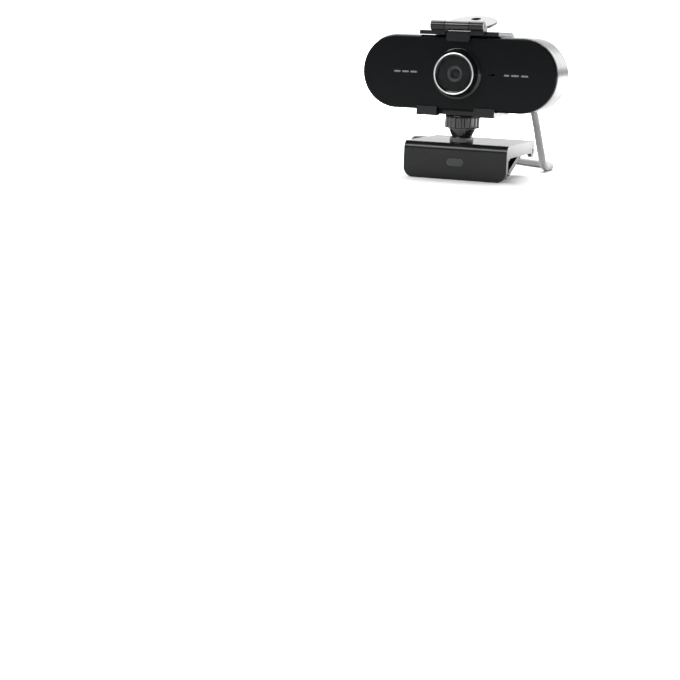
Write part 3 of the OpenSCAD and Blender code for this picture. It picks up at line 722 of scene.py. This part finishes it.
# every CAD node that is still shown gets its finish
for node, obj in frame["nodes"].items():
    if obj.type == "MESH":
        paint(obj, SLOT_OF[node])


# ------------------------------------------------------------------ studio

FLOOR_RADIUS, FLOOR_RINGS, FLOOR_SECTORS = 9.0, 24, 48
# the floor glows far from the object, and most behind it and to its right
FAR_GLOW, BACK_GLOW = 0.9, 3.4
FAR_SPAN, BACK_SPAN = (0.45, 1.0), (0.14, 0.34)
BACK_SLANT = 0.8


def floor_material():
    mat, n = new_material("floor")
    where = n.add("TexCoord").outputs["Object"]
    soft = n.noise(where, 6, 3)
    away = n.add("VectorMath", {0: where}, operation="LENGTH").outputs["Value"]
    place = n.add("SeparateXYZ", {"Vector": where})
    behind = n.plus(place.outputs["Y"], n.times(place.outputs["X"], BACK_SLANT))
    glow = n.plus(n.span(away, *FAR_SPAN, 0.0, FAR_GLOW), n.span(behind, *BACK_SPAN, 0.0, BACK_GLOW))
    shader = n.add("BsdfPrincipled", {
        "Base Color": n.mix(soft, (0.80, 0.80, 0.80, 1), (0.83, 0.83, 0.83, 1)),
        "Roughness": n.span(soft, 0.3, 0.7, 0.6, 0.7),
        "Emission Color": (1, 1, 1, 1), "Emission Strength": glow})
    shader.inputs["Specular IOR Level"].default_value = 0.1
    n.add("OutputMaterial", {"Surface": shader.outputs[0]})
    return mat


def add_floor():
    """A wide plain disc, with rings that lie closer together near the object."""
    bm = bmesh.new()
    middle = bm.verts.new((0, 0, 0))
    rings = []
    for i in range(1, FLOOR_RINGS + 1):
        r = FLOOR_RADIUS * (i / FLOOR_RINGS) ** 2
        angles = [2 * math.pi * k / FLOOR_SECTORS for k in range(FLOOR_SECTORS)]
        rings.append([bm.verts.new((r * math.cos(a), r * math.sin(a), 0)) for a in angles])
    for k in range(FLOOR_SECTORS):
        m = (k + 1) % FLOOR_SECTORS
        bm.faces.new((middle, rings[0][k], rings[0][m]))
        for a, b in zip(rings, rings[1:]):
            bm.faces.new((a[k], b[k], b[m], a[m]))
    floor = object_of(bm, "floor")
    floor.data.materials.append(floor_material())


def add_light(name, place, target, size, watts):
    """A panel that the camera doesn't see, turned towards its target."""
    data = bpy.data.lights.new(name, "AREA")
    data.shape = "RECTANGLE"
    data.size, data.size_y = size
    data.energy = watts
    lamp = bpy.data.objects.new(name, data)
    lamp.location = place
    aim = (Vector(target) - Vector(place)).to_track_quat("-Z", "Y")
    lamp.rotation_euler = aim.to_euler()
    lamp.visible_camera = False
    bpy.context.scene.collection.objects.link(lamp)


WORLD_STRENGTH = 1.45
WORLD_DIM, WORLD_PALE = (0.06, 0.06, 0.063, 1), (1.0, 1.0, 1.0, 1)
# the pale band above the horizon: its height at the sides, and the width of its soft edge
BAND_HEIGHT, BAND_EDGE = 0.22, 0.04


def add_world():
    """White behind the object and along the horizon at its sides, dim in front of it."""
    world = bpy.data.worlds.new("studio")
    world.use_nodes = True
    n = Nodes(world.node_tree)
    way = n.add("TexCoord").outputs["Generated"]
    parts = n.add("SeparateXYZ", {"Vector": way})
    behind = n.span(parts.outputs["Y"], -0.3, 0.8)
    height = n.span(parts.outputs["Y"], -0.55, -0.25, -BAND_EDGE, BAND_HEIGHT)
    above = n.add("Math", {0: parts.outputs["Z"], 1: height}, operation="SUBTRACT").outputs[0]
    low_down = n.span(above, 0.0, BAND_EDGE, 1.0, 0.0)
    pale = n.add("Math", {0: behind, 1: low_down}, operation="MAXIMUM").outputs[0]
    back = n.add("Background", {"Color": n.mix(pale, WORLD_DIM, WORLD_PALE),
                                "Strength": WORLD_STRENGTH})
    n.add("OutputWorld", {"Surface": back.outputs[0]})
    bpy.context.scene.world = world


add_floor()
add_world()
add_light("key", (-0.38, -0.71, 0.64), (0, 0, 0.03), (0.6, 0.3), 8)
add_light("overhead", (-0.1, 0.3, 1.0), (0, 0, 0.04), (1.2, 0.8), 20)
add_light("left_panel", (-0.5, 0.85, 0.68), (0, 0, 0.05), (0.9, 0.5), 2.6)
add_light("right_panel", (0.5, 0.95, 0.42), (0, 0, 0.05), (0.9, 0.55), 4)
bpy.context.scene.view_settings.view_transform = "Standard"
